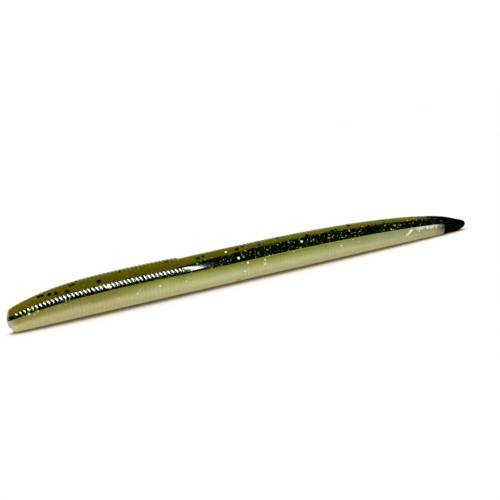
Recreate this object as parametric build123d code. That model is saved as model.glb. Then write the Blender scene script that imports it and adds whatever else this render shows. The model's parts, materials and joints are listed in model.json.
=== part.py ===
from build123d import *
import os
from math import pi, sin

# A soft plastic stick worm, hand poured in three coloured layers with its tail dipped in black.
# The rings are cast in. Between its rigid stations the body is cut into short bend sections, because
# the real bait has no hinge and bends anywhere along its length.
#
# Frame: X runs from the blunt nose to the tail, Z is up and Y is across. The origin is on the rest
# plane, under the middle of the smooth band. Distances "s" are measured from the nose tip.

# ---- driving dimensions, mm -------------------------------------------------------------------
LENGTH = 127.0

# The nose is blunt, leans back a little and is rounded underneath: (s, lowest, highest point).
NOSE_OUTLINE = [(0.0, 1.95, 3.65), (0.3, 1.3, 4.75), (0.6, 0.75, 5.45), (1.0, 0.25, 5.95)]
NOSE_END = 1.5
NOSE_RADIUS = 2.9
HEAD_RADIUS = 4.925
FULLEST_AT = 35.0
HEAD_SWELL = 3.2
HEAD_FALL = 0.11

BAND_START = 45.3
BAND_END = 60.0
BAND_RADIUS = 4.65

TAIL_TAPER = 2.3
TAIL_FULLNESS = 0.42
DIP_START = 120.6
DIP_THICKNESS = 0.25
DIP_CORE_END = 126.3
TIP_LEVEL_FROM = 124.4
TIP_END_FACE = 0.02
TIP_STEPS = 8

BELLY_FLAT = 0.1

HEAD_RINGS = 42
TAIL_RINGS = 66
LAST_TO_FIRST_PITCH = 0.78
GROOVE_DEPTH = 0.13
GROOVE_SIDE = 0.2

# Where the layers meet, as shares of the local height above the rest plane, at a few distances s.
PARTING_AT = [0.0, 8.0, 20.0, 38.0, 52.0, 72.0, 90.0, 110.0, 127.0]
BELLY_SHARE = [0.56, 0.56, 0.565, 0.565, 0.565, 0.565, 0.565, 0.565, 0.565]
STRIPE_SHARE = [0.71, 0.72, 0.735, 0.735, 0.82, 0.885, 0.885, 0.84, 0.82]

FLAKE_RADIUS = 0.45
FLAKE_THICKNESS = 0.08
FLAKE_COVER = 0.2
FLAKE_FAN = 20.0
GOLDEN_TURN = 0.381966

# Section names from nose to tail, with how many rings each one carries.
HEAD_SECTIONS = [("nose", 10), ("nose_bend", 5), ("head", 8), ("head_bend", 5),
                 ("shoulder", 9), ("shoulder_bend", 5)]
TAIL_SECTIONS = [("body_bend", 5), ("body", 10), ("waist_bend", 5), ("waist", 10),
                 ("rear_bend", 5), ("rear", 11), ("tail_bend", 5), ("tail", 15)]
FLAKES_PER_STATION = 10

# ---- worked out from the driving dimensions -----------------------------------------------------
ORIGIN_AT = (BAND_START + BAND_END) / 2
STOCK = 4 * HEAD_RADIUS


def outer_radius(s):
    """Radius over the ring crests at distance s from the nose."""
    if s < FULLEST_AT:
        swell = 1 - (1 - s / FULLEST_AT) ** HEAD_SWELL
        return NOSE_RADIUS + (HEAD_RADIUS - NOSE_RADIUS) * swell
    if s < BAND_START:
        past = (s - FULLEST_AT) / (BAND_START - FULLEST_AT)
        return HEAD_RADIUS - HEAD_FALL * past ** 2
    if s < BAND_END:
        return BAND_RADIUS
    along = min((s - BAND_END) / (LENGTH - BAND_END), 1.0)
    return BAND_RADIUS * (1 - along ** TAIL_TAPER) ** TAIL_FULLNESS


def centre_height(s):
    """Height of the section's centre: the belly runs straight, and only the very tip lifts."""
    return outer_radius(min(s, TIP_LEVEL_FROM)) - BELLY_FLAT


def round_section(s, height, radius):
    """A round cross-section at distance s, with its centre at the given height."""
    plane = Plane(origin=(s - ORIGIN_AT, 0, height), x_dir=(0, 1, 0), z_dir=(1, 0, 0))
    return plane * Circle(radius)


def disc(s, radius):
    """A round cross-section of the worm, centred on its axis."""
    return round_section(s, centre_height(s), radius)


def ring_edges(start, end, count, last_to_first):
    """Distances of the grooves between count rings whose pitch changes by a constant ratio."""
    ratio = last_to_first ** (1 / (count - 1))
    steps = [ratio ** i for i in range(count)]
    scale = (end - start) / sum(steps)
    return [start + scale * sum(steps[:i]) for i in range(count + 1)]


def groove_radius(s):
    """Radius at the bottom of a groove: the grooves get shallower as the worm gets thinner."""
    crest = outer_radius(s)
    return crest - GROOVE_DEPTH * crest / HEAD_RADIUS


def ringed_discs(edges):
    """Cross-sections of a run of rings: each ring is a flat crest between two sloping sides."""
    discs = []
    for start, end in zip(edges, edges[1:]):
        side = GROOVE_SIDE * (end - start)
        discs.append(disc(start, groove_radius(start)))
        discs.append(disc(start + side, outer_radius(start + side)))
        discs.append(disc(end - side, outer_radius(end - side)))
    discs.append(disc(edges[-1], groove_radius(edges[-1])))
    return discs


def nose_discs():
    """Cross-sections of the blunt nose, ahead of the first ring."""
    return [round_section(s, (low + high) / 2, (high - low) / 2) for s, low, high in NOSE_OUTLINE]


def tip_discs(end, inset):
    """Cross-sections of the smooth tail tip, up to distance end and inset from its surface."""
    discs = []
    for i in range(TIP_STEPS + 1):
        s = DIP_START + (end - DIP_START) * sin(pi / 2 * i / TIP_STEPS)
        discs.append(disc(s, outer_radius(s) - inset))
    return discs


def joined(discs):
    """A closed solid with straight sides from each disc to the next."""
    return loft(discs, ruled=True)


def parting_line(shares):
    """A line along the worm in its upright mid-plane, at the given shares of the local height."""
    points = []
    for s, share in zip(PARTING_AT, shares):
        full_height = 2 * outer_radius(min(s, TIP_LEVEL_FROM)) - BELLY_FLAT
        points.append((s - ORIGIN_AT, share * full_height))
    return Spline(*points)


def slab(bottom, top):
    """The space between two lines of the upright mid-plane, wide enough for the whole worm."""
    ends = Line(bottom @ 0, top @ 0) + Line(bottom @ 1, top @ 1)
    outline = make_face(bottom + top + ends)
    return extrude(Plane.XZ * outline, STOCK / 2, both=True)


def layer_slabs():
    """The spaces of the belly, stripe and back layers, which meet on the parting lines."""
    nose_x = -ORIGIN_AT
    tail_x = LENGTH - ORIGIN_AT
    rest_line = Line((nose_x, 0), (tail_x, 0))
    ceiling = Line((nose_x, STOCK), (tail_x, STOCK))
    belly_line = parting_line(BELLY_SHARE)
    stripe_line = parting_line(STRIPE_SHARE)
    return {
        "belly": slab(rest_line, belly_line),
        "stripe": slab(belly_line, stripe_line),
        "back": slab(stripe_line, ceiling),
    }


def flakes(start, end):
    """Black hexagonal glitter flakes lying flat just under the skin of the back."""
    pieces = []
    for i in range(FLAKES_PER_STATION):
        s = start + (end - start) * (i + 0.5) / FLAKES_PER_STATION
        lean = FLAKE_FAN * (2 * (i * GOLDEN_TURN % 1) - 1)
        plane = Plane(origin=(s - ORIGIN_AT, 0, centre_height(s))).rotated((lean, 0, 0))
        depth = outer_radius(s) - GROOVE_DEPTH - FLAKE_COVER
        hexagon = plane.offset(depth) * RegularPolygon(FLAKE_RADIUS, 6)
        pieces.append(extrude(hexagon, FLAKE_THICKNESS))
    return Compound(children=pieces)


def section_edges():
    """Each section's groove distances, from its first ring to its last."""
    head = ring_edges(NOSE_END, BAND_START, HEAD_RINGS, 1.0)
    tail = ring_edges(BAND_END, DIP_START, TAIL_RINGS, LAST_TO_FIRST_PITCH)
    spans = {}
    for sections, edges in ((HEAD_SECTIONS, head), (TAIL_SECTIONS, tail)):
        first = 0
        for name, rings in sections:
            spans[name] = edges[first:first + rings + 1]
            first += rings
    return spans


def section_solids(spans):
    """The uncut solid of every section."""
    solids = {name: joined(ringed_discs(edges)) for name, edges in spans.items() if name != "nose"}
    solids["nose"] = joined(nose_discs() + ringed_discs(spans["nose"]))
    solids["tail"] = solids["tail"] + joined(tip_discs(DIP_CORE_END, DIP_THICKNESS))
    solids["band"] = joined([disc(BAND_START, BAND_RADIUS), disc(BAND_END, BAND_RADIUS)])
    return solids


def tail_dip():
    """The black dipped skin over the tail tip, open at the front where the layers run into it."""
    outside = joined(tip_discs(LENGTH - TIP_END_FACE, 0))
    inside = joined(tip_discs(DIP_CORE_END, DIP_THICKNESS))
    above_rest = Pos(0, 0, STOCK / 2) * Box(4 * LENGTH, STOCK, STOCK)
    return (outside - inside) & above_rest


def save(shape, node):
    export_step(shape, os.path.join("parts", node + ".step"))


os.makedirs("parts", exist_ok=True)
spans = section_edges()
slabs = layer_slabs()
for name, solid in section_solids(spans).items():
    for layer, space in slabs.items():
        save(solid & space, f"{name}_{layer}")
    if not name.endswith("_bend"):
        start, end = (BAND_START, BAND_END) if name == "band" else (spans[name][0], spans[name][-1])
        save(flakes(start, end), f"{name}_flakes")
save(tail_dip(), "tail_dip")
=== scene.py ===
import json
import math
import random

import bmesh
import bpy
import numpy as np
from mathutils import Matrix, Vector

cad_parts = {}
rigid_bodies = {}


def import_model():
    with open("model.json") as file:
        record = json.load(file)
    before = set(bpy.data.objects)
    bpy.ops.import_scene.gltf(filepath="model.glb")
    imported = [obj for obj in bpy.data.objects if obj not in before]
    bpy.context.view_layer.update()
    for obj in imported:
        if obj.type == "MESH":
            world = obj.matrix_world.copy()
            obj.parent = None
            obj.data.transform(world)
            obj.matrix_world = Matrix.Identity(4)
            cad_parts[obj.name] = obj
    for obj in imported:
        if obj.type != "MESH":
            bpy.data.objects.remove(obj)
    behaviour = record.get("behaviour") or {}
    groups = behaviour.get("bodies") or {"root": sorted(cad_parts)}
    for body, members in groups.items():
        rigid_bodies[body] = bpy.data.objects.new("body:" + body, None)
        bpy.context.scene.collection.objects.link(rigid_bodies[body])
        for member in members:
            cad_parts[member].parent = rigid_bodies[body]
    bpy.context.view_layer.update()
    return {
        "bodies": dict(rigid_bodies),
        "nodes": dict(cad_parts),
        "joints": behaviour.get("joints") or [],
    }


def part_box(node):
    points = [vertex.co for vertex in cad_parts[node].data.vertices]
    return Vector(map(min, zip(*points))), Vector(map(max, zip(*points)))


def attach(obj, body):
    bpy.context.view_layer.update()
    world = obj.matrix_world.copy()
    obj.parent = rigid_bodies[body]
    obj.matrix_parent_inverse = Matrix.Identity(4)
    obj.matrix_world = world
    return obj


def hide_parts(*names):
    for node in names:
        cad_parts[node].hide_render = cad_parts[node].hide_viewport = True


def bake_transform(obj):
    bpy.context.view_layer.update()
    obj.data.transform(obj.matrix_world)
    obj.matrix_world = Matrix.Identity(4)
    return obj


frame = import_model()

# A ringed soft plastic stick worm, built over its CAD frame. Sizes in this script are millimetres,
# and meshes are divided by MM on their way into Blender, which works in metres. "x" runs along the
# worm from nose to tail in the frame's own coordinates, and an angle of 0 on a cross-section is the
# worm's +Y side, 90 degrees its top.

MM = 1000.0

STATIONS = ("nose", "head", "shoulder", "band", "body", "waist", "rear", "tail")
BENDS = ("nose_bend", "head_bend", "shoulder_bend", "body_bend", "waist_bend", "rear_bend",
         "tail_bend")
SECTIONS = STATIONS + BENDS

# =================================================================================================
# The shape, read from the CAD frame
# =================================================================================================

LAYER_SLOTS = {"belly": "cream_belly", "stripe": "black_stripe", "back": "olive_back"}
WHOLE_DISC = 90
WHOLE_TIP_DISC = 80
WHOLE_STRIPE = 20
NEAR = 0.01


def node_points(nodes):
    """All vertices of some CAD nodes."""
    return np.concatenate([
        np.array([v.co for v in frame["nodes"][n].data.vertices]) * MM for n in nodes])


def groups_by_x(points, least):
    """The points at each distance x where at least that many of them share one upright plane."""
    places = np.round(points[:, 0], 2)
    values, counts = np.unique(places, return_counts=True)
    return [points[places == x] for x, count in zip(values, counts) if count >= least]


def round_section(group):
    """(x, radius, centre height) of one round cross-section, from its points."""
    radius = np.abs(group[:, 1]).max()
    return group[:, 0].mean(), radius, group[:, 2].max() - radius


def upper_hull(sections):
    """The sections on a dome's outline, leaving out anything inside it."""
    kept = []
    for p in sorted(sections):
        while len(kept) > 1:
            (x0, y0), (x1, y1) = kept[-2][:2], kept[-1][:2]
            if (y1 - y0) * (p[0] - x0) > (p[1] - y0) * (x1 - x0):
                break
            kept.pop()
        kept.append(p)
    return kept


def span(node):
    """Where a CAD node starts and ends along the worm."""
    low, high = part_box(node)
    return low.x * MM, high.x * MM


NOSE_X = span("nose_belly")[0]
BAND_X = span("band_belly")
DIP_X = span("tail_dip")
FLAT = 2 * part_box("band_belly")[1].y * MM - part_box("band_back")[1].z * MM

layer_points = node_points([f"{s}_{layer}" for s in SECTIONS for layer in LAYER_SLOTS])
sections = [round_section(g) for g in groups_by_x(layer_points, WHOLE_DISC)]
sections = [s for s in sections if s[0] < DIP_X[0] - NEAR]
grooves = [b for a, b, c in zip(sections, sections[1:], sections[2:]) if b[1] < a[1] and b[1] < c[1]]
ahead_of_band = [g[0] for g in grooves if g[0] < BAND_X[0] - NEAR]
behind_band = [g[0] for g in grooves if g[0] > BAND_X[1] + NEAR]
HEAD_EDGES = [2 * ahead_of_band[0] - ahead_of_band[1]] + ahead_of_band + [BAND_X[0]]
TAIL_EDGES = [BAND_X[1]] + behind_band + [DIP_X[0]]

band_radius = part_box("band_belly")[1].y * MM
band_ends = [(x, band_radius, band_radius - FLAT) for x in BAND_X]
ring_ends = HEAD_EDGES + TAIL_EDGES
crests = [s for s in sections if min(abs(s[0] - x) for x in ring_ends) > NEAR]
tip = upper_hull([round_section(g) for g in groups_by_x(node_points(["tail_dip"]), WHOLE_TIP_DISC)])
CREST_X, CREST_R, CREST_HEIGHT = np.array(sorted(crests + band_ends + tip)).T
GROOVE_X, GROOVE_R = np.array(grooves).T[:2]

stripe_discs = groups_by_x(node_points([f"{s}_stripe" for s in SECTIONS]), WHOLE_STRIPE)
LINE_X = np.array([g[:, 0].mean() for g in stripe_discs])
LINE_LOW = np.array([g[:, 2].min() for g in stripe_discs])
LINE_HIGH = np.array([g[:, 2].max() for g in stripe_discs])


def crest_radius(x):
    """Radius over the ring crests. Squares are interpolated, which keeps the tip's dome round."""
    return np.sqrt(np.interp(x, CREST_X, CREST_R ** 2))


def groove_depth(x):
    """How far a groove's bottom lies below the crests."""
    return np.interp(x, GROOVE_X, crest_radius(GROOVE_X) - GROOVE_R)


def centre_height(x):
    """Height of a cross-section's centre: the belly line is straight, and both ends lift."""
    return np.interp(x, CREST_X, CREST_HEIGHT)


# =================================================================================================
# Fine shape: rings, layer edges and the lip along the mould's parting line
# =================================================================================================

CREST_ROUNDNESS = 2.6
LIP_HEIGHT = 0.02
LIP_WIDTH = 0.15
EDGE_WANDER = 0.13
WANDER_WAVES = ((17.0, 0.5), (5.1, 0.35), (2.2, 0.3), (1.1, 0.25))

# How far the stripe's upper edge is off its CAD line: distances x, and the shift at each.
EDGE_SHIFT = ((0.0, 15.0, 50.0, 62.0), (0.0, -0.22, -0.15, 0.3))
RING_STEPS = (0.0, 0.06, 0.14, 0.27, 0.42, 0.58, 0.73, 0.86, 0.94)
NOSE_STEPS = 14
BAND_STEPS = 28
LIP_FADE = (1.5, 2.0)


def ring_samples(edges):
    """(x, groove share) along a run of rings: share 1 at a groove's bottom and 0 on a crest."""
    samples = []
    for start, end in zip(edges, edges[1:]):
        for u in RING_STEPS:
            samples.append((start + (end - start) * u, abs(2 * u - 1) ** CREST_ROUNDNESS))
    return samples + [(edges[-1], 1.0)]


def nose_samples():
    """Cross-sections of the rounded nose rim, before the first ring."""
    length = HEAD_EDGES[0] - NOSE_X
    shares = [i / NOSE_STEPS for i in range(NOSE_STEPS)]
    return [(NOSE_X + length * t ** 1.5, t ** 8) for t in shares]


def band_samples():
    """Cross-sections of the smooth band."""
    length = BAND_X[1] - BAND_X[0]
    return [(BAND_X[0] + length * i / BAND_STEPS, 0.0) for i in range(BAND_STEPS)]


ALL_SAMPLES = nose_samples() + ring_samples(HEAD_EDGES)[:-1] + band_samples() + ring_samples(TAIL_EDGES)


def wander(x, side, seed):
    """A smooth, repeatable wobble between about -1 and 1 along one side of the worm."""
    rng = random.Random(f"{side}{seed}")
    total = 0.0
    for length, weight in WANDER_WAVES:
        total = total + weight * np.sin(2 * math.pi * (x / length + rng.random()))
    return total


def line_heights(x, side):
    """Heights of the belly line and of the stripe's upper edge on one side (+1 is +Y)."""
    low = np.interp(x, LINE_X, LINE_LOW)
    high = np.interp(x, LINE_X, LINE_HIGH)
    high = high + np.interp(x, *EDGE_SHIFT)
    return low, high + EDGE_WANDER * wander(x, side, "stripe")


def surface(x, share, angle, lift=0.0):
    """Points of the outer skin at distances x, groove shares and angles."""
    radius = crest_radius(x) - groove_depth(x) * share
    height = centre_height(x)
    line = np.interp(x, LINE_X, LINE_LOW)
    from_line = height + radius * np.sin(angle) - line
    fade = np.clip((x - NOSE_X) / LIP_FADE[0], 0, 1) * np.clip((DIP_X[0] - x) / LIP_FADE[1], 0, 1)
    radius = radius + LIP_HEIGHT * fade * np.exp(-(from_line / LIP_WIDTH) ** 2) + lift
    across, up = radius * np.cos(angle), height + radius * np.sin(angle)
    points = np.stack(np.broadcast_arrays(x, across, up), -1)
    points[..., 2] = np.maximum(points[..., 2], 0.0)
    return points


def line_angle(x, share, z):
    """Angle above the horizontal at which the skin reaches height z."""
    radius = crest_radius(x) - groove_depth(x) * share
    return np.arcsin(np.clip((z - centre_height(x)) / radius, -0.999, 0.999))


# =================================================================================================
# Meshes
# =================================================================================================

CORNER_COSINE = 0.8
TINY = 1e-9


def closed_tube(name, rows, values):
    """A closed mesh from rows of points, one row per cross-section, with flat end caps."""
    count, around = rows.shape[:2]
    vertices = rows.reshape(-1, 3) / MM
    faces = []
    for i in range(count - 1):
        for j in range(around):
            k = (j + 1) % around
            faces.append((i * around + j, i * around + k, (i + 1) * around + k, (i + 1) * around + j))
    first_side = len(faces)
    faces.append(tuple(range(around - 1, -1, -1)))
    faces.append(tuple((count - 1) * around + j for j in range(around)))
    mesh = bpy.data.meshes.new(name)
    mesh.from_pydata(vertices.tolist(), [], faces)
    mesh.polygons.foreach_set("use_smooth", [i < first_side for i in range(len(faces))])
    store_values(mesh, rows.reshape(-1, 3), {k: v.reshape(-1) for k, v in values.items()})
    mark_corners(mesh, rows)
    return finished(mesh)


def mark_corners(mesh, rows):
    """Marks the lengthwise edges where the skin meets the inner faces, so each side shades flat."""
    count, around = rows.shape[:2]
    middle = rows[count // 2]
    before = middle - np.roll(middle, 1, 0)
    after = np.roll(middle, -1, 0) - middle
    turn = np.einsum("ij,ij->i", before, after)
    turn = turn / (np.linalg.norm(before, axis=1) * np.linalg.norm(after, axis=1) + TINY)
    corners = set(np.nonzero(turn < CORNER_COSINE)[0].tolist())
    sharp = []
    for edge in mesh.edges:
        a, b = edge.vertices
        along = a % around == b % around
        cap = a // around == b // around and a // around in (0, count - 1)
        sharp.append(cap or (along and a % around in corners))
    mesh.attributes.new("sharp_edge", "BOOLEAN", "EDGE").data.foreach_set("value", sharp)


def store_values(mesh, rest, values):
    """Keeps what the materials read: the rest position, in millimetres, and one number per name."""
    place = mesh.attributes.new("rest", "FLOAT_VECTOR", "POINT")
    place.data.foreach_set("vector", np.asarray(rest, np.float32).ravel())
    for key, numbers in values.items():
        attribute = mesh.attributes.new(key, "FLOAT", "POINT")
        attribute.data.foreach_set("value", np.asarray(numbers, np.float32).ravel())


def finished(mesh):
    """A new object for the mesh, with all its faces turned outwards."""
    work = bmesh.new()
    work.from_mesh(mesh)
    bmesh.ops.recalc_face_normals(work, faces=work.faces)
    work.to_mesh(mesh)
    work.free()
    mesh.validate()
    piece = bpy.data.objects.new(mesh.name, mesh)
    bpy.context.scene.collection.objects.link(piece)
    return piece


# =================================================================================================
# Layers
# =================================================================================================

BELLY_STEPS = 64
STRIPE_STEPS = 12
BACK_STEPS = 44
CROWD = 0.75


def crowded(steps):
    """Shares from 0 to 1 that lie closer together near both ends."""
    t = np.linspace(0, 1, steps + 1)
    return t - CROWD * np.sin(2 * math.pi * t) / (2 * math.pi)


def layer_rows(layer, x, share):
    """One closed outline per cross-section for the belly, the stripe or the back."""
    x, share = x[:, None], share[:, None]
    low_right, high_right = line_heights(x, 1)
    low_left, high_left = line_heights(x, -1)
    low = line_angle(x, share, low_right)
    right = line_angle(x, share, high_right)
    left = line_angle(x, share, high_left)
    if layer == "belly":
        angles = low - (math.pi + 2 * low) * crowded(BELLY_STEPS)[None]
    elif layer == "back":
        angles = right + (math.pi - left - right) * crowded(BACK_STEPS)[None]
    else:
        t = np.linspace(0, 1, STRIPE_STEPS + 1)[None]
        right_side = low + (right - low) * t
        left_side = math.pi - left + (left - low) * t
        angles = np.concatenate([right_side, left_side], 1)
    rows = surface(x, share, angles)
    line = np.interp(x, LINE_X, LINE_LOW)
    values = {
        "groove": np.broadcast_to(share, angles.shape),
        "from_nose": np.broadcast_to(x - NOSE_X, angles.shape),
        "above_line": rows[..., 2] - line,
        "below_edge": np.interp(x, LINE_X, LINE_HIGH) - rows[..., 2],
        "height_share": rows[..., 2] / (2 * crest_radius(x) - FLAT),
    }
    return rows, values


def middle_edge(station):
    """The ring groove nearest to a station's middle, where two neighbouring zones meet."""
    start, end = span(f"{station}_belly")
    return min(HEAD_EDGES + TAIL_EDGES, key=lambda x: abs(x - (start + end) / 2))


def zones():
    """(name, front body, rear body, start, end) of the eight zones: one around each joint, except
    that the smooth band is a zone of its own, which shares the joint ahead of it."""
    cuts = [NOSE_X] + [middle_edge(s) for s in STATIONS[1:-1]] + [DIP_X[0]]
    cuts[STATIONS.index("band")] = BAND_X[1]
    found = []
    for i, bend in enumerate(BENDS):
        found.append((bend[:-len("_bend")], STATIONS[i], STATIONS[i + 1], cuts[i], cuts[i + 1]))
    ahead = STATIONS.index("shoulder")
    name, front, rear, start, end = found[ahead]
    found[ahead:ahead + 1] = [
        (name, front, rear, start, BAND_X[0]), ("band", front, rear, BAND_X[0], end)]
    return found


ZONES = zones()
BEND_REACH = 5.0
CORE_REACH = (0.1, 2.0)
CORE_INSET = 0.32


def bend_with_joint(piece, zone):
    """Looks up the one joint in a piece's zone and a reach on either side of it, which nothing then uses,
    and bakes the piece's placement into its mesh; nothing here makes the piece bend.
    """
    name, front, rear, start, end = zone
    joint = next(j for j in frame["joints"] if {j["parent"], j["child"]} == {front, rear})
    pivot = Vector(joint["pos_m"])
    reach = Vector((BEND_REACH / MM, 0, 0))
    first, last = pivot - reach, pivot + reach
    if front == "band":
        first.x = BAND_X[1] / MM
    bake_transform(piece)


def cad_nodes(zone, ending):
    """The CAD nodes of one layer or flake group that a zone's piece stands for."""
    name, front, rear = zone[:3]
    bend = f"{front}_bend" if name == "band" else f"{name}_bend"
    wanted = [f"{front}_{ending}", f"{rear}_{ending}", f"{bend}_{ending}"]
    return [n for n in wanted if n in frame["nodes"]]


def make_layer(layer, zone, material):
    name, front, rear, start, end = zone
    inside = [(x, share) for x, share in ALL_SAMPLES if start - TINY <= x <= end + TINY]
    x = np.array([s[0] for s in inside])
    share = np.array([s[1] for s in inside])
    if zone is ZONES[-1]:
        core_x = DIP_X[0] + np.array(CORE_REACH)
        x = np.append(x, core_x)
        share = np.append(share, CORE_INSET / groove_depth(core_x))
    rows, values = layer_rows(layer, x, share)
    slot = LAYER_SLOTS[layer]
    piece = closed_tube(f"{slot}_{name}", rows, values)
    piece.data.materials.append(material)
    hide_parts(*cad_nodes(zone, layer))
    bend_with_joint(piece, zone)
    return piece


# =================================================================================================
# Tail dip
# =================================================================================================

DIP_FORWARD = 0.8
DIP_ON_TOP = 4.2
DIP_EDGE_WANDER = 0.35
DIP_RIPPLES = (2, 3, 5, 9)
DIP_SKIN = 0.03
DIP_RISE = 0.6
DIP_INSET = 0.28
DIP_SUNK = 0.02
DIP_SINK_FROM = 0.3
DIP_SINK_OVER = 0.5
DIP_ROWS = 120
DIP_AROUND = 112


def groove_share(x):
    """Groove share at any distance along the tail: 1 in a groove, 0 on a crest or past the rings."""
    i = np.clip(np.searchsorted(TAIL_EDGES, x, "right") - 1, 0, len(TAIL_EDGES) - 2)
    edges = np.array(TAIL_EDGES)
    u = (x - edges[i]) / (edges[i + 1] - edges[i])
    return np.where(x < TAIL_EDGES[-1], np.abs(2 * u - 1) ** CREST_ROUNDNESS, 0.0)


def make_dip(material):
    """The black dipped skin: it reaches further forward along the back, and its edge wanders."""
    angles = np.linspace(0, 2 * math.pi, DIP_AROUND, endpoint=False)[None]
    upward = np.clip(np.sin(angles), 0, 1) ** 2
    ragged = sum(np.sin(k * angles + 1.7 * k) / k for k in DIP_RIPPLES) * DIP_EDGE_WANDER
    front = DIP_X[0] - DIP_FORWARD - DIP_ON_TOP * upward + ragged * (0.4 + upward)
    t = np.sin(np.linspace(0, math.pi / 2, DIP_ROWS))[:, None]
    x = front + (DIP_X[1] - front) * t
    share = groove_share(x)
    rise = np.clip((x - front) / DIP_RISE, 0, 1)
    sink = np.clip((x - DIP_X[0] + DIP_SINK_FROM) / DIP_SINK_OVER, 0, 1)
    outer = surface(x, share, angles, DIP_SKIN * rise)
    inner = surface(x, share, angles, -DIP_SUNK - (DIP_INSET - DIP_SUNK) * sink)
    keep = np.arange(DIP_ROWS)[crest_radius(x[:, 0]) > 2 * DIP_INSET]
    rows = np.concatenate([inner[keep][::-1], outer])
    along = np.concatenate([x[keep][::-1], x])
    shares = np.concatenate([share[keep][::-1], share])
    piece = closed_tube("black_tail_dip", rows, {
        "groove": shares, "from_nose": along - NOSE_X,
        "from_front": along - np.broadcast_to(front, along.shape)})
    piece.data.materials.append(material)
    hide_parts("tail_dip")
    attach(piece, "tail")
    return piece


# =================================================================================================
# Flakes and glitter
# =================================================================================================

ALL_X = np.array([x for x, share in ALL_SAMPLES])
ALL_SHARE = np.array([share for x, share in ALL_SAMPLES])


def share_at(x):
    """Groove share anywhere along the worm."""
    return np.interp(x, ALL_X, ALL_SHARE)


FLAKES_FROM = 1.5
FLAKES_TO = 1.0
EDGE_FLAKES_PER_MM = 0.12
EDGE_FLAKE_SIZE = 0.36
EDGE_BAND = 0.06
BACK_FLAKES_PER_MM = 0.1
BACK_FLAKE_SIZE = 0.4
ABOVE_EDGE = 0.1
FLAKE_MARGIN = 0.5
FLAKE_RINGS = 4
FLAKE_THICKNESS = 0.02
SIZE_SPREAD = 0.25

# Fine glitter in the stripe: its kinds, with their number per mm on each side and their half-width.
GLITTER = (("gold", 1.6, 0.14), ("green", 1.0, 0.14), ("teal", 0.35, 0.13), ("pearl", 0.15, 0.11))
GLITTER_THICKNESS = 0.015
GLITTER_MARGIN = 0.3
HEAD_GLITTER = 0.6
STRAY_SHARE = 0.28
TILT = 0.02
SPECKS_PER_MM = 0.6
SPECK_SIZE = 0.09
LOWEST_SPECK = -0.9

# Larger flakes with a place of their own: (x, degrees above the horizontal, half-width).
PLACED = {
    "black": (
        (-44.0, 62, 0.6), (-43.1, 59, 0.5), (-41.4, 52, 0.6), (-39.8, 47, 0.6), (-37.0, 41, 0.6),
        (-35.8, 60, 0.5), (-35.0, 61, 0.5), (-28.8, 45, 0.65), (-10.7, 66, 0.6), (-2.5, 56, 0.6),
        (-1.0, 59, 0.5), (8.2, 58, 0.65), (10.1, 65, 0.5), (14.4, 78, 0.6), (20.0, 76, 0.6),
        (27.6, 52, 0.6), (34.8, 52, 0.6), (40.0, 67, 0.6), (50.0, 70, 0.5)),
    "gold": (
        (-45.1, 7, 0.3), (-37.0, 9, 0.3), (-26.4, 16, 0.35), (-1.6, 40, 0.32), (24.7, 12, 0.3),
        (52.5, 30, 0.3), (33.0, 25, 0.3)),
    "green": ((-37.8, 8, 0.4), (-7.3, 20, 0.32), (13.2, 25, 0.3), (22.0, 38, 0.3), (-28.0, 46, 0.3)),
    "teal": ((9.1, 23, 0.34), (-20.2, 20, 0.3), (28.9, 30, 0.28)),
    # Among the pearls, the flake at x 7.7 is a painted glint at the band's rear edge, and the slanted row
    # from x 55.3 to 57.0 is a painted highlight on the belly near the tail.
    "pearl": (
        (-47.3, 7, 0.3), (-27.0, 20, 0.34), (5.1, 55, 0.34), (7.7, 22, 0.36), (25.5, 32, 0.34),
        (9.8, 1, 0.3), (-14.0, -12, 0.22), (-7.0, -14, 0.24), (-20.0, -20, 0.2), (8.7, -25, 0.24),
        (14.5, -2, 0.22), (14.4, -16, 0.24), (36.0, -10, 0.2), (55.3, -22, 0.2), (55.6, -18, 0.26),
        (55.95, -14, 0.28), (56.3, -10, 0.28), (56.65, -6, 0.26), (57.0, -2, 0.2), (59.2, -12, 0.2)),
}


def hexagon_grid(rings):
    """Points of a unit hexagon in concentric rings, and the triangles between them."""
    turns = [math.radians(60 * k) for k in range(7)]
    corners = [np.array([math.cos(turn), math.sin(turn)]) for turn in turns]
    points = [np.zeros(2)]
    index = {(0, 0): 0}
    for ring in range(1, rings + 1):
        for side in range(6):
            for step in range(ring):
                index[ring, side * ring + step] = len(points)
                edge = corners[side + 1] - corners[side]
                points.append((corners[side] + edge * step / ring) * ring / rings)
    faces = []
    for ring in range(1, rings + 1):
        for side in range(6):
            for step in range(ring):
                here = index[ring, side * ring + step]
                after = index[ring, (side * ring + step + 1) % (6 * ring)]
                inner = (side * (ring - 1) + step) % max(6 * (ring - 1), 1)
                faces.append((index[ring - 1, inner], here, after))
                if step < ring - 1:
                    inner_after = (side * (ring - 1) + step + 1) % (6 * (ring - 1))
                    faces.append((index[ring - 1, inner], after, index[ring - 1, inner_after]))
    rim = [index[rings, k] for k in range(6 * rings)]
    return np.array(points), faces, rim


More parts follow.
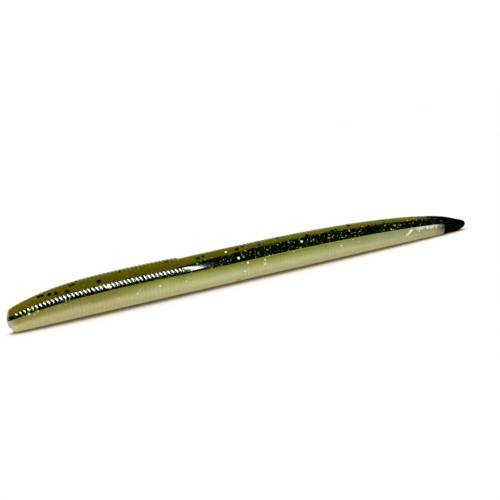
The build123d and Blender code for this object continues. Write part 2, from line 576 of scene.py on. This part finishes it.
def flake_group(name, flakes, rings, thickness, material, zone):
    """One piece holding many closed flakes, each lying on the skin and following its rings.

    A flake is (x, angle, size, turn, tilt): its centre, half-width, turn in its own plane and how
    far one edge is lifted."""
    grid, faces, rim = hexagon_grid(rings)
    count = len(grid)
    vertices, polygons = [], []
    for x, angle, size, turn, tilt in flakes:
        c, s = math.cos(turn), math.sin(turn)
        flat = grid @ np.array([[c, s], [-s, c]]) * size
        at_x = x + flat[:, 0]
        at_angle = angle + flat[:, 1] / crest_radius(x)
        lift = thickness + tilt * flat[:, 1] / size
        first = len(vertices)
        top = surface(at_x, share_at(at_x), at_angle, lift)
        bottom = surface(at_x, share_at(at_x), at_angle, lift - 2 * thickness)
        vertices.extend(top.tolist())
        vertices.extend(bottom.tolist())
        polygons.extend(tuple(first + k for k in face) for face in faces)
        polygons.extend(tuple(first + count + k for k in face[::-1]) for face in faces)
        for a, b in zip(rim, rim[1:] + rim[:1]):
            polygons.append((first + b, first + a, first + count + a, first + count + b))
    mesh = bpy.data.meshes.new(name)
    mesh.from_pydata((np.array(vertices) / MM).tolist(), [], polygons)
    store_values(mesh, vertices, {})
    piece = finished(mesh)
    piece.data.materials.append(material)
    bend_with_joint(piece, zone)
    return piece


def on_side(side, angle):
    """Turns an angle above the horizontal on one side into an angle on the cross-section."""
    return angle if side > 0 else math.pi - angle


def edge_angles(x, side):
    """Angles above the horizontal of the belly line and of the stripe's upper edge."""
    return [float(line_angle(x, 0.0, z)) for z in line_heights(x, side)]


def random_flake(rng, x, side, angle, size, tilt=0):
    size = size * rng.uniform(1 - SIZE_SPREAD, 1 + SIZE_SPREAD)
    return x, on_side(side, angle), size, rng.uniform(0, math.pi), tilt


def placed_flakes(rng, kind, start, end):
    """The flakes of one kind that have a place of their own, on the worm's -Y side."""
    flakes = []
    for x, degrees, size in PLACED[kind]:
        if start <= x < end:
            angle = on_side(-1, math.radians(degrees))
            flakes.append((x, angle, size, rng.uniform(0, math.pi), 0))
    return flakes


def black_flakes(rng, start, end):
    """Large black flakes: a few scattered over the back, and more along the stripe's edge."""
    flakes = []
    for side in (-1, 1):
        for i in range(int((end - start) * EDGE_FLAKES_PER_MM)):
            x = rng.uniform(start + FLAKE_MARGIN, end - FLAKE_MARGIN)
            angle = edge_angles(x, side)[1] + rng.uniform(-EDGE_BAND, EDGE_BAND)
            flakes.append(random_flake(rng, x, side, angle, EDGE_FLAKE_SIZE))
        for i in range(int((end - start) * BACK_FLAKES_PER_MM)):
            x = rng.uniform(start + FLAKE_MARGIN, end - FLAKE_MARGIN)
            angle = rng.uniform(edge_angles(x, side)[1] + ABOVE_EDGE, math.pi / 2)
            flakes.append(random_flake(rng, x, side, angle, BACK_FLAKE_SIZE))
    return flakes


def stripe_glitter(rng, start, end, per_mm, size):
    """Fine glitter, most of it in the stripe and a little in the back above it."""
    flakes = []
    for side in (-1, 1):
        for i in range(int((end - start) * per_mm)):
            x = rng.uniform(start + GLITTER_MARGIN, end - GLITTER_MARGIN)
            low, high = edge_angles(x, side)
            angle = rng.uniform(low + 0.02, high + 0.05)
            if rng.random() < STRAY_SHARE:
                angle = rng.uniform(high, math.pi / 2)
            flakes.append(random_flake(rng, x, side, angle, size, rng.uniform(-TILT, TILT)))
    return flakes


def belly_specks(rng, start, end):
    """Sparse pearl specks in the belly."""
    flakes = []
    for side in (-1, 1):
        for i in range(int((end - start) * SPECKS_PER_MM)):
            x = rng.uniform(start + GLITTER_MARGIN, end - GLITTER_MARGIN)
            angle = rng.uniform(LOWEST_SPECK, edge_angles(x, side)[0] - 0.03)
            flakes.append(random_flake(rng, x, side, angle, SPECK_SIZE, rng.uniform(-TILT, TILT)))
    return flakes


def make_glitter(zone, materials):
    """All the flake pieces of one zone."""
    name, front, rear, zone_start, zone_end = zone
    rng = random.Random(name)
    start = max(zone_start, NOSE_X + FLAKES_FROM)
    end = min(zone_end, DIP_X[0] - FLAKES_TO)
    flakes = black_flakes(rng, start, end) + placed_flakes(rng, "black", zone_start, zone_end)
    black = flake_group(f"black_flakes_{name}", flakes, FLAKE_RINGS, FLAKE_THICKNESS,
                        materials["black_flake"], zone)
    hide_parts(*cad_nodes(zone, "flakes"))
    pieces = [black]
    share = HEAD_GLITTER if zone_end <= BAND_X[0] else 1.0
    for kind, per_mm, size in GLITTER:
        flakes = stripe_glitter(rng, start, end, per_mm * share, size)
        if kind == "pearl":
            flakes += belly_specks(rng, start, end)
        flakes += placed_flakes(rng, kind, zone_start, zone_end)
        pieces.append(flake_group(f"{kind}_glitter_{name}", flakes, 1, GLITTER_THICKNESS,
                                  materials[f"{kind}_glitter"], zone))
    return pieces


# =================================================================================================
# Materials
# =================================================================================================


# The light that reaches the back and the belly, as shares of what shows a white surface as white.
BACK_LIGHT = (1.1, 1.12, 1.3)
BELLY_LIGHT = (0.77, 0.74, 0.65)


def srgb(red, green, blue, light=BACK_LIGHT):
    """The paint that shows as a colour of 0 to 255 display values under the given light."""
    out = []
    for value, strength in zip((red, green, blue), light):
        v = value / 255
        out.append(min((v / 12.92 if v <= 0.04045 else ((v + 0.055) / 1.055) ** 2.4) / strength, 1.0))
    return (*out, 1.0)


def belly(red, green, blue):
    """The paint that shows as a colour of 0 to 255 display values on the belly."""
    return srgb(red, green, blue, BELLY_LIGHT)


class Paint:
    """Builds one node material around a Principled shader."""

    def __init__(self, name, **settings):
        self.material = bpy.data.materials.new(name)
        self.material.use_nodes = True
        self.nodes = self.material.node_tree.nodes
        self.links = self.material.node_tree.links
        self.shader = self.nodes["Principled BSDF"]
        for key, value in settings.items():
            self.shader.inputs[key.replace("_", " ")].default_value = value

    def plug(self, socket, source):
        """Connects a socket, or sets a plain value on an input."""
        if isinstance(source, bpy.types.NodeSocket):
            self.links.new(source, socket)
        else:
            socket.default_value = source

    def attribute(self, name):
        node = self.nodes.new("ShaderNodeAttribute")
        node.attribute_name = name
        return node.outputs["Vector" if name == "rest" else "Fac"]

    def stretched(self, scale):
        """The rest position, scaled separately along x, y and z."""
        node = self.nodes.new("ShaderNodeVectorMath")
        node.operation = "MULTIPLY"
        self.links.new(self.attribute("rest"), node.inputs[0])
        node.inputs[1].default_value = scale
        return node.outputs[0]

    def noise(self, scale, detail=3.0, stretch=(1, 1, 1)):
        node = self.nodes.new("ShaderNodeTexNoise")
        node.inputs["Scale"].default_value = scale
        node.inputs["Detail"].default_value = detail
        self.links.new(self.stretched(stretch), node.inputs["Vector"])
        return node.outputs["Fac"]

    def cells(self, scale):
        """Two unrelated random numbers for each cell of a grainy pattern."""
        node = self.nodes.new("ShaderNodeTexVoronoi")
        node.inputs["Scale"].default_value = scale
        self.links.new(self.stretched((1, 1, 1)), node.inputs["Vector"])
        separate = self.nodes.new("ShaderNodeSeparateColor")
        self.links.new(node.outputs["Color"], separate.inputs[0])
        return separate.outputs["Red"], separate.outputs["Green"]

    def distance(self, point, stretch):
        """Distance of the stretched rest position from a point."""
        node = self.nodes.new("ShaderNodeVectorMath")
        node.operation = "DISTANCE"
        self.links.new(self.stretched(stretch), node.inputs[0])
        node.inputs[1].default_value = [p * s for p, s in zip(point, stretch)]
        return node.outputs["Value"]

    def math(self, operation, a, b=0.0):
        node = self.nodes.new("ShaderNodeMath")
        node.operation = operation
        self.plug(node.inputs[0], a)
        self.plug(node.inputs[1], b)
        return node.outputs[0]

    def weaker(self, source, share):
        """The source times a share."""
        return self.math("MULTIPLY", source, share)

    def reverse(self, source):
        """One minus the source."""
        return self.math("SUBTRACT", 1.0, source)

    def smooth(self, source, start, end):
        """0 before start, 1 after end, and a smooth change between them; start may be above end."""
        node = self.nodes.new("ShaderNodeMapRange")
        node.interpolation_type = "SMOOTHSTEP"
        self.plug(node.inputs["Value"], source)
        node.inputs["From Min"].default_value = start
        node.inputs["From Max"].default_value = end
        return node.outputs["Result"]

    def mix(self, factor, a, b):
        node = self.nodes.new("ShaderNodeMix")
        node.data_type = "RGBA"
        self.plug(node.inputs["Factor"], factor)
        self.plug(node.inputs[6], a)
        self.plug(node.inputs[7], b)
        return node.outputs[2]

    def ramp(self, source, stops):
        """Colours at given values of the source, in the source's own units."""
        low, high = stops[0][0], stops[-1][0]
        scaled = self.nodes.new("ShaderNodeMapRange")
        self.plug(scaled.inputs["Value"], source)
        scaled.inputs["From Min"].default_value = low
        scaled.inputs["From Max"].default_value = high
        node = self.nodes.new("ShaderNodeValToRGB")
        elements = node.color_ramp.elements
        while len(elements) < len(stops):
            elements.new(0.5)
        for element, (value, colour) in zip(elements, stops):
            element.position = (value - low) / (high - low)
            element.color = colour
        self.links.new(scaled.outputs["Result"], node.inputs["Fac"])
        return node.outputs["Color"]

    def scatter(self, weight, radius, scale):
        """Lets light wander under the skin, up to a scale in millimetres."""
        self.shader.inputs["Subsurface Weight"].default_value = weight
        self.shader.inputs["Subsurface Radius"].default_value = radius
        self.shader.inputs["Subsurface Scale"].default_value = scale / MM

    def bump(self, source, height):
        """Fine relief under the smooth coat, with its height in millimetres."""
        node = self.nodes.new("ShaderNodeBump")
        node.inputs["Distance"].default_value = height / MM
        self.links.new(source, node.inputs["Height"])
        self.links.new(node.outputs["Normal"], self.shader.inputs["Normal"])

    def colour(self, source):
        self.links.new(source, self.shader.inputs["Base Color"])


SOFT_PLASTIC = {"Roughness": 0.5, "Specular_IOR_Level": 0.0, "Coat_Weight": 0.9,
                "Coat_Roughness": 0.05, "Coat_IOR": 1.3}
DULL_PLASTIC = {**SOFT_PLASTIC, "Coat_Weight": 0.25}


def olive_back():
    paint = Paint("olive_back", **SOFT_PLASTIC)
    from_nose = paint.attribute("from_nose")
    cloud = paint.noise(0.35, 4.0, (0.6, 1, 1))
    olive = paint.ramp(cloud, [
        (0.3, srgb(92, 96, 0)), (0.5, srgb(103, 97, 0)), (0.7, srgb(112, 100, 0))])
    grain = paint.smooth(paint.noise(3.2, 3.0), 0.52, 0.7)
    olive = paint.mix(paint.weaker(grain, 0.6), olive, srgb(70, 74, 0))
    mottle = paint.smooth(paint.noise(1.0, 3.0), 0.5, 0.68)
    olive = paint.mix(paint.weaker(mottle, 0.45), olive, srgb(78, 76, 0))
    light = paint.smooth(paint.noise(4.5, 2.0), 0.58, 0.7)
    olive = paint.mix(paint.weaker(light, 0.5), olive, srgb(132, 126, 14))
    nose = paint.reverse(paint.smooth(from_nose, 4.0, 16.0))
    olive = paint.mix(paint.weaker(nose, 0.6), olive, srgb(118, 109, 0))
    # Painted shade: the olive is darker in the ring grooves.
    olive = paint.mix(paint.weaker(paint.attribute("groove"), 0.12), olive, srgb(62, 56, 0))
    bright_half = paint.smooth(from_nose, 60.0, 85.0)
    olive = paint.mix(paint.weaker(bright_half, 0.35), olive, srgb(130, 126, 16))
    edge = paint.smooth(paint.attribute("below_edge"), -0.35, 0.25)
    olive = paint.mix(paint.weaker(edge, 0.4), olive, srgb(42, 46, 0))
    paint.colour(paint.mix(paint.smooth(from_nose, 110.0, 118.5), olive, srgb(8, 8, 3)))
    paint.scatter(0.12, (1.0, 0.8, 0.2), 0.5)
    paint.bump(paint.noise(2.2, 4.0), 0.005)
    return paint.material


def black_stripe():
    paint = Paint("black_stripe", **SOFT_PLASTIC)
    dark = paint.ramp(paint.noise(1.6, 4.0), [
        (0.4, srgb(1, 6, 1)), (0.62, srgb(6, 14, 2)), (0.78, srgb(26, 34, 2))])
    first, second = paint.cells(4.6)
    gold = paint.smooth(first, 0.955, 0.975)
    green = paint.smooth(second, 0.965, 0.985)
    dark = paint.mix(paint.weaker(gold, 0.8), dark, srgb(104, 104, 16))
    dark = paint.mix(paint.weaker(green, 0.8), dark, srgb(6, 84, 34))
    paint.colour(dark)
    paint.bump(paint.noise(2.2, 4.0), 0.004)
    return paint.material


def belly_gradient(paint):
    """The belly's cream, greener towards the stripe, with a different fall in head and tail. Its
    brightening lower down is painted light from the floor's bounce.
    """
    from_nose = paint.attribute("from_nose")
    above_line = paint.attribute("above_line")
    cloud = paint.weaker(paint.math("SUBTRACT", paint.noise(0.5, 3.0, (0.3, 1, 1)), 0.5), 0.8)
    near_nose = paint.reverse(paint.smooth(from_nose, 6.0, 22.0))
    height = paint.math("SUBTRACT", paint.math("ADD", above_line, cloud), paint.weaker(near_nose, 0.6))
    # Painted light: both ramps grow paler lower down, where the floor's bounce falls, over the cream's own
    # greener tint near the stripe.
    head_cream = paint.ramp(height, [
        (-3.4, belly(190, 188, 138)), (-2.5, belly(186, 183, 128)), (-2.1, belly(166, 163, 103)),
        (-1.6, belly(146, 144, 79)), (-1.1, belly(140, 138, 66)), (-0.5, belly(128, 128, 49)),
        (-0.15, belly(130, 134, 38)), (0.1, belly(112, 114, 14))])
    tail_cream = paint.ramp(height, [
        (-3.2, belly(196, 202, 152)), (-2.4, belly(190, 194, 139)), (-1.8, belly(175, 180, 115)),
        (-1.2, belly(157, 163, 88)), (-0.7, belly(140, 147, 62)), (-0.3, belly(124, 131, 36)),
        (0.1, belly(108, 114, 12))])
    cream = paint.mix(paint.smooth(from_nose, 24.0, 42.0), head_cream, tail_cream)
    lip = paint.math("MULTIPLY", paint.smooth(above_line, -0.24, -0.1), paint.smooth(from_nose, 52.0, 66.0))
    cream = paint.mix(paint.weaker(lip, 0.85), cream, belly(170, 172, 60))
    grey = paint.smooth(from_nose, 70.0, 116.0)
    cream = paint.mix(paint.weaker(grey, 0.6), cream, belly(160, 168, 138))
    # Painted light: the cream turns paler towards the very bottom, making up for the shade between belly
    # and floor.
    under = paint.smooth(paint.attribute("height_share"), 0.26, 0.04)
    cream = paint.mix(under, cream, belly(198, 204, 166))
    # Painted shade: the cream is darker in the ring grooves.
    return paint.mix(paint.weaker(paint.attribute("groove"), 0.07), cream, belly(130, 134, 70))


def belly_ends(paint, cream):
    """A duller tail with a milky smear under the stripe and black bleeding in, and a grey nose face."""
    from_nose = paint.attribute("from_nose")
    ragged = paint.weaker(paint.noise(1.2, 4.0), 3.0)
    smear = paint.smooth(paint.math("ADD", paint.attribute("above_line"), ragged), 0.55, 0.85)
    smear = paint.math("MULTIPLY", smear, paint.smooth(from_nose, 109.5, 112.5))
    dull = paint.smooth(from_nose, 109.0, 114.0)
    cream = paint.mix(paint.weaker(dull, 0.6), cream, belly(150, 156, 134))
    cream = paint.mix(paint.weaker(smear, 0.95), cream, belly(222, 229, 214))
    face = paint.reverse(paint.smooth(from_nose, 0.5, 2.0))
    cream = paint.mix(paint.weaker(face, 0.6), cream, belly(176, 182, 162))
    bleed = paint.smooth(paint.math("ADD", from_nose, paint.noise(0.9, 3.0)), 116.5, 120.6)
    return paint.mix(bleed, cream, belly(34, 38, 38))


def belly_glow(paint, seen):
    """A painted glow, seen only by the camera: it lights the belly's underside in the shade between belly
    and floor, standing in for the light that the milky plastic carries down there.
    """
    height_share = paint.attribute("height_share")
    glow = paint.math("ADD", paint.weaker(paint.smooth(height_share, 0.38, 0.2), 0.26),
                      paint.weaker(paint.smooth(height_share, 0.16, 0.03), 0.38))
    shade = paint.nodes.new("ShaderNodeAmbientOcclusion")
    shade.inputs["Distance"].default_value = SHADE_REACH / MM
    glow = paint.math("MULTIPLY", glow, paint.smooth(shade.outputs["AO"], 0.95, 0.65))
    paint.shader.inputs["Emission Color"].default_value = srgb(184, 182, 126, (1, 1, 1))
    paint.links.new(paint.math("MULTIPLY", glow, seen), paint.shader.inputs["Emission Strength"])


STAIN_AT = (7.0, -2.2, 0.5)
STAIN_STRETCH = (1, 1, 1.6)
SHADE_REACH = 10.0


def cream_belly():
    paint = Paint("cream_belly", **DULL_PLASTIC)
    cream = belly_ends(paint, belly_gradient(paint))
    spot = paint.reverse(paint.smooth(paint.distance(STAIN_AT, STAIN_STRETCH), 0.6, 1.1))
    cream = paint.mix(spot, cream, belly(172, 112, 66))
    # Only the camera sees the underside's pale cream: it throws little light into the contact shadow.
    seen = paint.nodes.new("ShaderNodeLightPath").outputs["Is Camera Ray"]
    underside = paint.smooth(paint.attribute("height_share"), 0.5, 0.3)
    unseen = paint.math("MULTIPLY", paint.reverse(seen), underside)
    paint.colour(paint.mix(unseen, cream, belly(100, 74, 14)))
    belly_glow(paint, seen)
    paint.scatter(0.25, (1.0, 0.9, 0.5), 0.6)
    paint.bump(paint.noise(1.8, 4.0), 0.01)
    return paint.material


def black_dip():
    paint = Paint("black_tail", **{**SOFT_PLASTIC, "Coat_Weight": 0.08})
    black = paint.ramp(paint.noise(1.5, 4.0), [(0.3, srgb(1, 2, 2)), (0.7, srgb(6, 7, 8))])
    paint.colour(black)
    paint.bump(paint.noise(2.5, 4.0), 0.012)
    return paint.material


def black_flake():
    paint = Paint("black_flake", **SOFT_PLASTIC)
    paint.colour(paint.ramp(paint.noise(2.0), [(0.3, srgb(2, 4, 1)), (0.7, srgb(10, 16, 3))]))
    return paint.material


def glitter(name, dark, bright, glow=0.35):
    """A metal flake whose colour shifts from flake to flake, and which glows in that colour as a painted
    sparkle.
    """
    paint = Paint(name, **SOFT_PLASTIC)
    shade = paint.ramp(paint.noise(1.1, 1.0), [(0.38, dark), (0.62, bright)])
    paint.colour(shade)
    paint.links.new(shade, paint.shader.inputs["Emission Color"])
    paint.shader.inputs["Emission Strength"].default_value = glow
    return paint.material


def plain(name, colour, roughness):
    paint = Paint(name, Roughness=roughness)
    paint.shader.inputs["Base Color"].default_value = colour
    return paint.material


# =================================================================================================
# Floor, light and camera
# =================================================================================================

CAMERA_LENS = 86.4
CAMERA_SENSOR = 36.0
CAMERA_AZIMUTH = -15.73
CAMERA_ELEVATION = 5.95
CAMERA_ROLL = -10.95
CAMERA_DISTANCE = 314.8
LOOK_AHEAD = 12.32
LOOK_UP = 7.22

SKY = (0.55, 0.48, 0.33)
SKY_FOR_CAMERA = 1.5
GLOW_BEHIND = (0.35, 0.8)
GLOW_HEIGHT = (0.3, 0.65)
GLOW_STRENGTH = 2.0
SUN = (0.75, 0.95, 1.7)
SUN_ELEVATION = 61.0
SUN_ANGLE = 45.0
RING_LIGHT_X = -29.0
RING_LIGHT_TOP = (-20.0, 47.0)
RING_LIGHT_BOTTOM = (36.0, 26.0)
RING_LIGHT_WIDTH = 80.0
RING_LIGHT_WATTS = 9.0
BAND_LIGHT_TOP = (20.7, 53.8)
BAND_LIGHT_BOTTOM = (14.8, 25.0)
BAND_LIGHT_WIDTH = 6.0
BAND_LIGHT_WATTS = 0.36
LIGHT_DISTANCE = 400.0
STRIP_AIM_UP = 5.0
MARKER_ANGLES = (-135, -90, -45, 0, 180)
FLOOR_GAP = 0.02
FLOOR_HALF = 3000.0
FLOOR_COLOUR = (0.94, 0.82, 0.57, 1)


def direction(azimuth, elevation):
    """Unit vector towards an azimuth (0 is -Y, positive towards +X) and an elevation, in degrees."""
    a, e = math.radians(azimuth), math.radians(elevation)
    return Vector((math.sin(a) * math.cos(e), -math.cos(a) * math.cos(e), math.sin(e)))


def skin_markers():
    """Empties around both ends of every body, which move with it in a pose."""
    markers = []
    for station in STATIONS:
        start, end = span(f"{station}_belly")
        for x in (start, DIP_X[1] if station == "tail" else end):
            radius, height = float(crest_radius(x)), float(centre_height(x))
            for degrees in MARKER_ANGLES:
                angle = math.radians(degrees)
                marker = bpy.data.objects.new("skin_marker", None)
                bpy.context.scene.collection.objects.link(marker)
                marker.parent = frame["bodies"][station]
                low = max(height + radius * math.sin(angle), 0.0)
                marker.location = Vector((x, radius * math.cos(angle), low)) / MM
                markers.append(marker)
    return markers


def make_floor():
    """A plain floor, held just under the lowest point of the worm, so that no pose sinks into it."""
    mesh = bpy.data.meshes.new("floor")
    signs = ((-1, -1), (1, -1), (1, 1), (-1, 1))
    corners = [(a * FLOOR_HALF / MM, b * FLOOR_HALF / MM, -FLOOR_GAP / MM) for a, b in signs]
    mesh.from_pydata(corners, [], [(0, 1, 2, 3)])
    floor = bpy.data.objects.new("floor", mesh)
    bpy.context.scene.collection.objects.link(floor)
    floor.data.materials.append(plain("pale_floor", FLOOR_COLOUR, 0.9))
    lowest = floor.driver_add("location", 2).driver
    lowest.type = "MIN"
    for marker in skin_markers():
        variable = lowest.variables.new()
        variable.type = "TRANSFORMS"
        variable.targets[0].id = marker
        variable.targets[0].transform_type = "LOC_Z"
        variable.targets[0].transform_space = "WORLD_SPACE"


def make_sky():
    """Even warm light. The camera sees it white, and gloss sees a dark room with a low glow behind."""
    world = bpy.data.worlds.new("studio")
    world.use_nodes = True
    bpy.context.scene.world = world
    nodes, links = world.node_tree.nodes, world.node_tree.links
    sky = nodes["Background"]
    sky.inputs["Color"].default_value = (*SKY, 1)
    white = nodes.new("ShaderNodeBackground")
    white.inputs["Color"].default_value = (1, 1, 1, 1)
    white.inputs["Strength"].default_value = SKY_FOR_CAMERA
    room = nodes.new("ShaderNodeBackground")
    towards = nodes.new("ShaderNodeTexCoord")
    split = nodes.new("ShaderNodeSeparateXYZ")
    links.new(towards.outputs["Generated"], split.inputs[0])
    behind = nodes.new("ShaderNodeMapRange")
    behind.inputs["From Min"].default_value = GLOW_BEHIND[0]
    behind.inputs["From Max"].default_value = GLOW_BEHIND[1]
    links.new(split.outputs["Y"], behind.inputs["Value"])
    low = nodes.new("ShaderNodeMapRange")
    low.inputs["From Min"].default_value = GLOW_HEIGHT[1]
    low.inputs["From Max"].default_value = GLOW_HEIGHT[0]
    low.inputs["To Max"].default_value = GLOW_STRENGTH
    links.new(split.outputs["Z"], low.inputs["Value"])
    glow = nodes.new("ShaderNodeMath")
    glow.operation = "MULTIPLY"
    links.new(behind.outputs["Result"], glow.inputs[0])
    links.new(low.outputs["Result"], glow.inputs[1])
    links.new(glow.outputs[0], room.inputs["Strength"])
    ray = nodes.new("ShaderNodeLightPath")
    for_gloss = nodes.new("ShaderNodeMixShader")
    links.new(ray.outputs["Is Glossy Ray"], for_gloss.inputs["Fac"])
    links.new(sky.outputs[0], for_gloss.inputs[1])
    links.new(room.outputs[0], for_gloss.inputs[2])
    for_camera = nodes.new("ShaderNodeMixShader")
    links.new(ray.outputs["Is Camera Ray"], for_camera.inputs["Fac"])
    links.new(for_gloss.outputs[0], for_camera.inputs[1])
    links.new(white.outputs[0], for_camera.inputs[2])
    links.new(for_camera.outputs[0], nodes["World Output"].inputs["Surface"])


def make_sun():
    """A broad soft light from above and a little behind, which gives no gloss."""
    data = bpy.data.lights.new("top_light", "SUN")
    data.energy = math.pi * max(SUN)
    data.color = [c / max(SUN) for c in SUN]
    data.angle = math.radians(SUN_ANGLE)
    light = bpy.data.objects.new("top_light", data)
    bpy.context.scene.collection.objects.link(light)
    light.rotation_euler = direction(180.0, SUN_ELEVATION).to_track_quat("Z", "Y").to_euler()
    light.visible_glossy = False


def make_strip_light(name, x, top, bottom, width, watts, receivers):
    """A long thin light between two directions seen from the worm at x, which only glosses."""
    data = bpy.data.lights.new(name, "AREA")
    data.shape = "RECTANGLE"
    centre = Vector((x, 0, STRIP_AIM_UP)) / MM
    upper, lower = (centre + direction(*end) * LIGHT_DISTANCE / MM for end in (top, bottom))
    data.size, data.size_y = width / MM, (upper - lower).length
    data.energy = watts
    light = bpy.data.objects.new(name, data)
    bpy.context.scene.collection.objects.link(light)
    away = ((upper + lower) / 2 - centre).normalized()
    along = (upper - lower).normalized()
    across = along.cross(away).normalized()
    light.matrix_world = Matrix((across, across.cross(-away), away)).transposed().to_4x4()
    light.location = (upper + lower) / 2
    light.visible_camera = False
    light.visible_diffuse = False
    group = bpy.data.collections.new(f"lit_by_{name}")
    for piece in receivers:
        group.objects.link(piece)
    light.light_linking.receiver_collection = group


def make_camera():
    data = bpy.data.cameras.new("camera")
    data.lens = CAMERA_LENS
    data.sensor_width = CAMERA_SENSOR
    data.clip_start = 0.01
    camera = bpy.data.objects.new("camera", data)
    bpy.context.scene.collection.objects.link(camera)
    back = direction(CAMERA_AZIMUTH, CAMERA_ELEVATION)
    level = Vector((0, 0, 1)).cross(back).normalized()
    upright = back.cross(level)
    roll = math.radians(CAMERA_ROLL)
    right = level * math.cos(roll) + upright * math.sin(roll)
    up = upright * math.cos(roll) - level * math.sin(roll)
    target = Vector((LOOK_AHEAD, 0, LOOK_UP)) / MM
    camera.matrix_world = Matrix((right, up, back)).transposed().to_4x4()
    camera.location = target + back * CAMERA_DISTANCE / MM
    bpy.context.scene.camera = camera


# =================================================================================================
# The worm
# =================================================================================================

layer_materials = {"back": olive_back(), "stripe": black_stripe(), "belly": cream_belly()}
flake_materials = {
    "black_flake": black_flake(),
    "gold_glitter": glitter("gold_glitter", srgb(96, 96, 10), srgb(200, 205, 70)),
    "green_glitter": glitter("green_glitter", srgb(4, 70, 20), srgb(30, 190, 70)),
    "teal_glitter": glitter("teal_glitter", srgb(4, 70, 50), srgb(40, 205, 160)),
    "pearl_glitter": glitter("pearl_glitter", srgb(206, 208, 196), srgb(252, 254, 246), 0.75),
}
shiny_pieces = {}
for zone in ZONES:
    layers = {layer: make_layer(layer, zone, material) for layer, material in layer_materials.items()}
    shiny_pieces[zone[0]] = [layers["stripe"], layers["back"]] + make_glitter(zone, flake_materials)
make_dip(black_dip())

make_floor()
make_sky()
make_sun()
ringed_head = shiny_pieces["nose"] + shiny_pieces["head"] + shiny_pieces["shoulder"]
make_strip_light("ring_light", RING_LIGHT_X, RING_LIGHT_TOP, RING_LIGHT_BOTTOM, RING_LIGHT_WIDTH,
                 RING_LIGHT_WATTS, ringed_head)
make_strip_light("band_light", BAND_X[0], BAND_LIGHT_TOP, BAND_LIGHT_BOTTOM, BAND_LIGHT_WIDTH,
                 BAND_LIGHT_WATTS, shiny_pieces["band"])
make_camera()
bpy.context.scene.view_settings.view_transform = "Standard"
